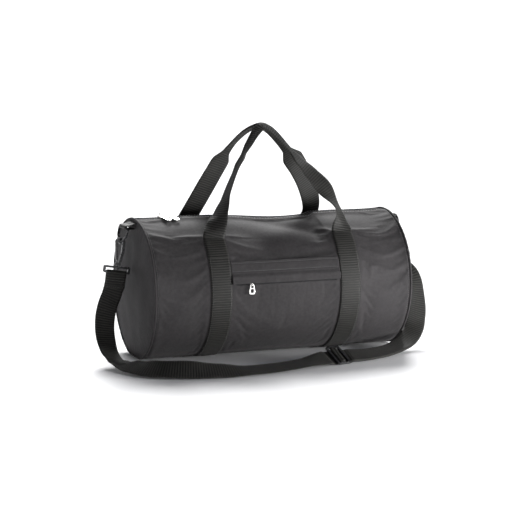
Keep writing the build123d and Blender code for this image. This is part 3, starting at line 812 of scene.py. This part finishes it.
angle_edge = acos(ZIP_HALF / RADIUS)
xs = np.unique(np.concatenate([np.linspace(-HALF, HALF, 236), [-POCKET_HALF, POCKET_HALF]]))
angles = np.linspace(-pi - angle_edge, angle_edge, 330)
angles = np.unique(np.concatenate([angles, [SLOT_LOW, SLOT_HIGH]]))
skin_sheet("barrel_fabric", xs, angles, 0.0, FABRIC, FABRIC_THICKNESS, ("body_panel",),
           (-POCKET_HALF, POCKET_HALF, SLOT_LOW, SLOT_HIGH), slack(xs, angles))

# -------------------- ends
for side, sign in LEFT_RIGHT:
    low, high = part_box(f"end_panel_{side}")
    bulge = high[0] - low[0]
    turns, rings = 240, 44
    round_angles = np.linspace(0, 2 * pi, turns, endpoint=False)
    points, uvs = [], []
    for i in range(rings):
        share = i / (rings - 1)
        rim = flat_radius(round_angles) - 0.0008
        radius = np.maximum(rim * share, 1e-5)
        dome = bulge * (1 - share ** 2)
        gathers = np.sin(round_angles * 47 + 2 * np.sin(round_angles * 5))
        pucker = 0.0004 * smooth_step((share - 0.78) / 0.18) * gathers
        sag = np.array([0.0016 * noise.noise(Vector((share * cos(a) * 3.1, share * sin(a) * 3.1,
                                                     sign * 4))) for a in round_angles])
        out = sign * (HALF + dome - 0.0012 + (pucker + sag) * (1 - share ** 6))
        across, high = radius * np.cos(round_angles), radius * np.sin(round_angles)
        points.append(np.stack([out, -across, AXIS + high], axis=-1))
        uvs.append(np.stack([across, high], axis=-1))
    faces = grid_faces(rings, turns, True)
    faces.append(tuple(range(turns)))
    if sign < 0:
        faces = [f[::-1] for f in faces]
    end = piece(f"end_fabric_{side}", np.concatenate(points), faces, FABRIC, "bag",
                (f"end_panel_{side}", f"seam_binding_{side}"), np.concatenate(uvs))
    solidify(end, FABRIC_THICKNESS)

    # the rolled seam, where the barrel's fabric turns in over the end panel
    around, sides = 420, 10
    seam_angles = np.linspace(0, 2 * pi, around, endpoint=False)
    points, uvs = [], []
    for i, a in enumerate(seam_angles):
        swell = 1 + 0.05 * sin(i * 0.9)
        swell += 0.20 * noise.noise(Vector((cos(a) * 6, sin(a) * 6, sign)))
        thick = 0.0019 * swell
        middle = float(flat_radius(a)) - 0.0007
        for j in range(sides):
            t = 2 * pi * j / sides
            radius = middle + thick * cos(t)
            height = max(AXIS + radius * sin(a), 0.0002)
            points.append((sign * (HALF - 0.0004 + 1.1 * thick * sin(t)), -radius * cos(a), height))
            uvs.append((a * RADIUS, t * thick))
    faces = grid_faces(around, sides, True)
    faces += [((around - 1) * sides + j, j, (j + 1) % sides, (around - 1) * sides + (j + 1) % sides)
              for j in range(sides)]
    piece(f"end_seam_{side}", points, faces, FABRIC, "bag", (), uvs)
    # stitches beside the seam
    stitched = np.linspace(-pi - angle_edge + 0.04, angle_edge - 0.04, 500)
    stitches(f"end_stitches_{side}", on_skin(sign * (HALF - 0.0052), stitched, ON_FABRIC), outward(stitched),
             DARK_THREAD)

# -------------------- carrying straps
strap_angles = np.linspace(SEWN, -pi - SEWN, 500)
for side, sign in LEFT_RIGHT:
    radius = flat_radius(strap_angles) + WEB / 2 + ON_FABRIC
    line = np.stack([np.full(len(strap_angles), sign * STRAP_X), -radius * np.cos(strap_angles),
                     AXIS + radius * np.sin(strap_angles)], axis=-1)
    line[:, 2] = np.maximum(line[:, 2], WEB / 2 + 0.0002)
    facing = outward(strap_angles)
    webbing_strip(f"carrying_webbing_{side}", line, facing, STRAP_WIDTH, replaces=(f"carrying_strap_{side}",))
    shown = line[:, 2] > 0.004
    edges = edge_rows(line, facing, STRAP_WIDTH, STITCH_INSET, WEB / 2 + ON_FABRIC)
    for k, (row, normal) in enumerate(edges):
        for part, chosen in (("front", line[:, 1] < 0), ("rear", line[:, 1] > 0)):
            seen = shown & chosen
            stitches(f"strap_stitches_{side}_{part}_{k}", row[seen], normal[seen], DARK_THREAD)

# -------------------- handles
# Each handle's route is in its own plane: across the bag, and up from where it leaves the barrel.
HANDLE_ROUTES = {
    ("front", -1): [(0.126, -0.004), (0.1215, 0.014), (0.106, 0.042), (0.091, 0.076), (0.072, 0.112),
                    (0.050, 0.147), (0.027, 0.180), (0.008, 0.204), (0.0, 0.2075)],
    ("front", 1): [(0.126, -0.004), (0.1305, 0.016), (0.129, 0.040), (0.103, 0.086), (0.085, 0.109),
                   (0.067, 0.132), (0.040, 0.168), (0.014, 0.200), (0.0, 0.2075)],
    ("rear", -1): [(0.126, -0.004), (0.121, 0.014), (0.107, 0.046), (0.090, 0.087), (0.076, 0.120),
                   (0.063, 0.150), (0.043, 0.181), (0.018, 0.204), (0.0, 0.2075)],
    ("rear", 1): [(0.126, -0.004), (0.131, 0.016), (0.132, 0.032), (0.124, 0.058), (0.104, 0.099),
                  (0.075, 0.139), (0.046, 0.172), (0.016, 0.202), (0.0, 0.2075)],
}
GRIP_WIDTH, GRIP_LAYERS = 0.019, 2.3      # the folded grip's width, and its thickness in webbings
TWIST = {                      # degrees that the webbing turns about its own line, by the height
    ("front", -1): [(0, 0), (0.02, 32), (0.045, 66), (0.076, 84), (0.120, 88), (0.148, 80), (0.175, 55),
                    (0.21, 30)],
    ("front", 1): [(0, 0), (0.028, 46), (0.045, 50), (0.086, 14), (0.112, 26), (0.135, 40), (0.21, 30)],
    ("rear", -1): [(0, 0), (0.03, 4), (0.075, 4), (0.13, 8), (0.150, 16), (0.170, 30), (0.21, 30)],
    ("rear", 1): [(0, 0), (0.02, -14), (0.075, -16), (0.115, -12), (0.145, 10), (0.165, 30), (0.21, 30)],
}


def handle_plane(facing_way):
    """The middle of a handle's hinge, and the way its plane goes up from there."""
    return (Vector((0, -facing_way * HINGE.y, HINGE.z)),
            Vector((0, facing_way * sin(LEAN), cos(LEAN))))


def handle_line(side, facing_way):
    """The middle line of a handle from one sewn end to the other, its facing, width and thickness."""
    out = Vector((0, -facing_way * cos(LEAN), sin(LEAN)))
    hinge, upward = handle_plane(facing_way)
    radius = RADIUS + WEB / 2 + ON_FABRIC
    rows = []
    for mirror in (-1, 1):
        leg = smooth_route([(x, 0, up) for x, up in HANDLE_ROUTES[(side, mirror)]], 16)[:, [0, 2]]
        run = []
        for a in np.linspace(SEWN, SEWN_TOP, 40)[:-1]:
            place = (mirror * STRAP_X, -facing_way * radius * cos(a), AXIS + radius * sin(a))
            run.append((place, (0, -facing_way * cos(a), sin(a)), STRAP_WIDTH, WEB))
        leg_p = [hinge + Vector((mirror * x, 0, 0)) + upward * up for x, up in leg]
        twists = keyed(leg[:, 1], TWIST[(side, mirror)])
        for k, place in enumerate(leg_p):
            ahead = leg_p[min(k + 1, len(leg_p) - 1)] - leg_p[max(k - 1, 0)]
            way = ahead.normalized()
            normal = (out - way * out.dot(way)).normalized()
            side_way = way.cross(normal)
            t = radians(twists[k])
            # the upper edge of the webbing turns back, away from the viewer
            normal = normal * cos(t) + side_way * sin(t) * (mirror * facing_way)
            grip = float(smooth_step((leg[k, 1] - 0.136) / 0.020))
            run.append((tuple(place), tuple(normal), STRAP_WIDTH * (1 - grip) + GRIP_WIDTH * grip,
                        WEB * (1 - grip) + GRIP_LAYERS * WEB * grip))
        rows += run[::-mirror]
    return [np.array(column) for column in zip(*rows)]


def soften(rows, passes):
    """Averages each point with its neighbours, keeping the ends."""
    rows = rows.copy()
    for _ in range(passes):
        rows[1:-1] = 0.25 * rows[:-2] + 0.5 * rows[1:-1] + 0.25 * rows[2:]
    return rows


for side, sign in FRONT_REAR:
    facing_way = -sign
    places, *others = handle_line(side, facing_way)
    _, (places, facings, widths, thicknesses) = evenly(places, 0.002, *others)
    handle = webbing_strip(f"{side}_handle_webbing", soften(places, 8), soften(facings, 10), widths,
                           thicknesses, None, (f"{side}_handle",))
    start = Vector((0, -facing_way * (RADIUS + WEB) * cos(BLEND_START),
                    AXIS + (RADIUS + WEB) * sin(BLEND_START)))
    hinge, upward = handle_plane(facing_way)
    end = hinge + BLEND_REACH * upward
    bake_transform(handle)

# -------------------- main zip
TAPE_INNER, TAPE_OUTER = 0.0026, 0.0150   # a tape's edges, from the middle of the zip
zip_x = np.linspace(-HALF + 0.001, HALF - 0.001, 220)
for side, sign in FRONT_REAR:
    band = np.linspace(acos(TAPE_INNER / RADIUS), acos(TAPE_OUTER / RADIUS), 9)
    if sign > 0:
        band = pi - band
    skin_sheet(f"main_tape_{side}", zip_x, np.sort(band), -0.0015, TAPE, 0.0005,
               (f"main_zip_tape_{side}",))


def coil(name, xs_of, place, across, out, pitch, reach, height, replaces):
    """A row of nylon coil: a flattened loop at each pitch, from the tape to the middle and back."""
    points, faces = [], []
    rings, sides, wire = 9, 5, 0.00030
    for x in xs_of:
        base = len(points)
        centre = place(x)
        for i in range(rings):
            t = pi * i / (rings - 1)
            middle = centre + across * (reach * sin(t)) + out * (height * 0.5 * (1 - cos(t)))
            middle = middle + np.array([pitch * 0.34 * (i / (rings - 1) - 0.5), 0, 0])
            radial = across * sin(t) - out * cos(t)
            for j in range(sides):
                a = 2 * pi * j / sides
                points.append(middle + radial * wire * cos(a)
                              + np.array([wire * 1.5 * sin(a), 0, 0]))
        faces += tube_faces(rings, sides, base)
    return piece(name, points, faces, COIL, "bag", replaces)


def zip_angle(out, sign):
    """The angle of a line so far from the middle of the zip, on its front or its rear side."""
    return acos(out / RADIUS) if sign < 0 else pi - acos(out / RADIUS)


def main_coil_place(sign):
    """Gives the place of a loop of the main coil's front or rear row, from its x."""
    return lambda x: np.array([x, sign * COIL_APART, AXIS + float(skin_radius(x, pi / 2)) - COIL_DEPTH])


def zip_places(half, pitch, count, sign):
    """Where the loops of a coil stand; those of the rear or upper row fall between the others."""
    return -half + pitch * (np.arange(count) + (0.5 if sign > 0 else 0))


COIL_PITCH, COIL_REACH, COIL_HEIGHT = 0.0017, 0.0034, 0.0017
COIL_APART, COIL_DEPTH = 0.0030, 0.0025   # from the middle of the zip, and below the fabric
ZIP_SEAM = 0.0142                         # the pale stitches, from the middle of the zip
line_x = np.linspace(-HALF + 0.006, HALF - 0.006, 300)
count = int((2 * HALF - 0.006) / COIL_PITCH)
for side, sign in FRONT_REAR:
    coil(f"main_coil_{side}", zip_places(HALF - 0.003, COIL_PITCH, count, sign), main_coil_place(sign),
         np.array([0, -sign * 1.0, 0]), np.array([0, 0, 1.0]), COIL_PITCH, COIL_REACH, COIL_HEIGHT,
         (f"main_zip_coil_{side}",))
    a = zip_angle(ZIP_SEAM, sign)
    stitches(f"zip_edge_stitches_{side}", on_skin(line_x, a, 0.0002), outward(np.full(300, a)), PALE_THREAD,
             length=0.0034, gap=0.0020, radius=0.00042)
    # the folded edge of the fabric along the zip
    sides, points = 8, []
    for p in on_skin(zip_x, zip_angle(ZIP_HALF - 0.0003, sign), -0.0006):
        for j in range(sides):
            t = 2 * pi * j / sides
            points.append(p + np.array([0, 0.0011 * cos(t), 0.0009 * sin(t)]))
    uvs = [(x, j * 0.0009) for x in zip_x for j in range(sides)]
    piece(f"zip_fold_{side}", points, grid_faces(len(zip_x), sides, True), FABRIC, "bag", (), uvs)

# -------------------- pocket
pocket_x = np.linspace(-POCKET_HALF - 0.003, POCKET_HALF + 0.003, 120)
degree = pi / 180
for name, side, low, high in (("low", "lower", 5.2 * degree, POCKET_ZIP - 0.9 * degree),
                              ("high", "upper", POCKET_ZIP + 0.9 * degree, 15.2 * degree)):
    skin_sheet(f"pocket_tape_{name}", pocket_x, np.linspace(low, high, 8), -0.0013, TAPE, 0.0004,
               (f"pocket_zip_tape_{side}",))
POCKET_PITCH, POCKET_REACH, POCKET_HEIGHT = 0.0014, 0.0026, 0.0014
POCKET_APART, POCKET_DEPTH = 0.0022, 0.0011
upward = np.array([0, sin(POCKET_ZIP), cos(POCKET_ZIP)])
out = np.array([0, -cos(POCKET_ZIP), sin(POCKET_ZIP)])


def pocket_coil_place(sign):
    """Gives the place of a loop of the pocket coil's lower or upper row, from its x."""
    return lambda x: on_skin(x, POCKET_ZIP, -POCKET_DEPTH) + upward * sign * POCKET_APART


count = int(2 * POCKET_HALF / POCKET_PITCH) - 2
for side, sign in (("lower", -1), ("upper", 1)):
    coil(f"pocket_coil_{side}", zip_places(POCKET_HALF - 0.001, POCKET_PITCH, count, sign),
         pocket_coil_place(sign), -sign * upward, out, POCKET_PITCH, POCKET_REACH, POCKET_HEIGHT,
         (f"pocket_zip_coil_{side}",))

LINING_HALF, LINING_LOW, LINING_HIGH = 0.1035, -38 * degree, 17 * degree
lining_x = np.linspace(-LINING_HALF, LINING_HALF, 60)
lining_angles = np.linspace(LINING_LOW, LINING_HIGH, 50)
grid_x, grid_a = np.meshgrid(lining_x, lining_angles, indexing="ij")
inset = np.minimum((LINING_HALF - np.abs(grid_x)) / 0.006,
                   np.minimum(grid_a - LINING_LOW, LINING_HIGH - grid_a) / (2.5 * degree))
skin_sheet("pocket_lining_fabric", lining_x, lining_angles, -0.0012 - 0.0072 * smooth_step(inset), LINING,
           0.0006, ("pocket_lining",))

flap_x = np.linspace(-FLAP_HALF, FLAP_HALF, 150)
flap_angles = np.linspace(FLAP_LOW, FLAP_HIGH, 44)
grid_x, grid_a = np.meshgrid(flap_x, flap_angles, indexing="ij")
proud = 1 - smooth_step((grid_a - FLAP_LIFTED) / (FLAP_LAID - FLAP_LIFTED))
lift = 0.0011 + (FLAP_LIFT - 0.0003) * proud
lift += 0.0003 * np.sin(grid_x * 110 + 3 * np.sin(grid_x * 31)) * proud
FLAP_ROWS = (("top", radians(24.6), 0.0005), ("middle", radians(18.0), 0.0006))
for name, a, depth in FLAP_ROWS:
    lift -= depth * np.exp(-((grid_a - a) / 0.009) ** 2)
skin_sheet("pocket_flap_fabric", flap_x, flap_angles, lift, FABRIC, FABRIC_THICKNESS,
           ("pocket_flap",))
line_x = np.linspace(-FLAP_HALF + 0.002, FLAP_HALF - 0.002, 200)
for name, a, depth in FLAP_ROWS:
    stitches(f"flap_stitches_{name}", on_skin(line_x, a, 0.0012 - depth), outward(np.full(200, a)),
             DARK_THREAD)

# -------------------- metal and plastic fittings
for node in ("main_slider_left", "main_slider_right", "pocket_slider"):
    hardware(node, NICKEL, 0.00045, node)
for node in ("main_pull_left", "main_pull_right", "pocket_pull"):
    hardware(node, NICKEL, 0.00028, node)


def stout(place):
    """A point of a hook or gate, moved outwards so that its walls are as thick as a moulded hook's."""
    sign = copysign(1, place.x)
    up = Vector((-sign * sin(HOOK_LEAN), 0, cos(HOOK_LEAN)))
    side_way = Vector((cos(HOOK_LEAN), 0, sign * sin(HOOK_LEAN)))
    local = place - Vector((sign * EYE_X, 0, EYE_Z))
    across, high = local.dot(side_way), local.dot(up)
    if high < -0.0355:         # the boss and the post stay as they are
        return place
    moved = Vector((0, 0.26 * place.y, 0))
    far = hypot(across, high)
    if high > -0.003 and far > EYE_EDGE:
        moved += HOOK_EXTRA * (side_way * across + up * high) / far
    elif high <= -0.003 and abs(across) > EYE_EDGE:
        moved += HOOK_EXTRA * side_way * copysign(1, across)
    return place + moved


for side in ("left", "right"):
    hardware(f"d_ring_{side}", PLASTIC, 0, f"d_ring_{side}")
    hardware(f"hook_{side}", PLASTIC, 0.0009, f"hook_{side}", stout)
    hardware(f"gate_{side}", PLASTIC, 0.0004, f"gate_{side}", stout)
    hardware(f"strap_loop_{side}", PLASTIC, 0.0007, "bag")
hardware("strap_adjuster", PLASTIC, 0.0007, "bag")

# -------------------- ring tabs
for side, sign in LEFT_RIGHT:
    low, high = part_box(f"ring_tab_{side}")
    outer = low[0] if sign < 0 else high[0]
    reach = (high[2] - low[2]) / 2 - WEB / 2
    bar = Vector((outer - sign * (reach + WEB / 2), 0, (low[2] + high[2]) / 2))
    turns = np.linspace(pi / 2, -pi / 2, 26)
    line = [(sign * (HALF + past), 0, bar.z + reach + above)
            for past, above in ((-0.003, 0.0045), (0.004, 0.0028), (0.010, 0.0006))]
    line += [(bar.x + sign * reach * cos(t), 0, bar.z + reach * sin(t)) for t in turns]
    line += [(sign * (HALF + 0.009), 0, bar.z - reach), (sign * (HALF + 0.0035), 0, bar.z - reach + 0.0005)]
    facing = [(sign * 0.1, 0, 1)] * 3
    facing += [(sign * cos(t), 0, sin(t)) for t in turns] + [(0, 0, -1)] * 2
    webbing_strip(f"ring_tab_webbing_{side}", line, facing, RING_TAB_WIDTH, replaces=(f"ring_tab_{side}",))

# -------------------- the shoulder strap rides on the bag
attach(shoulder, "bag")
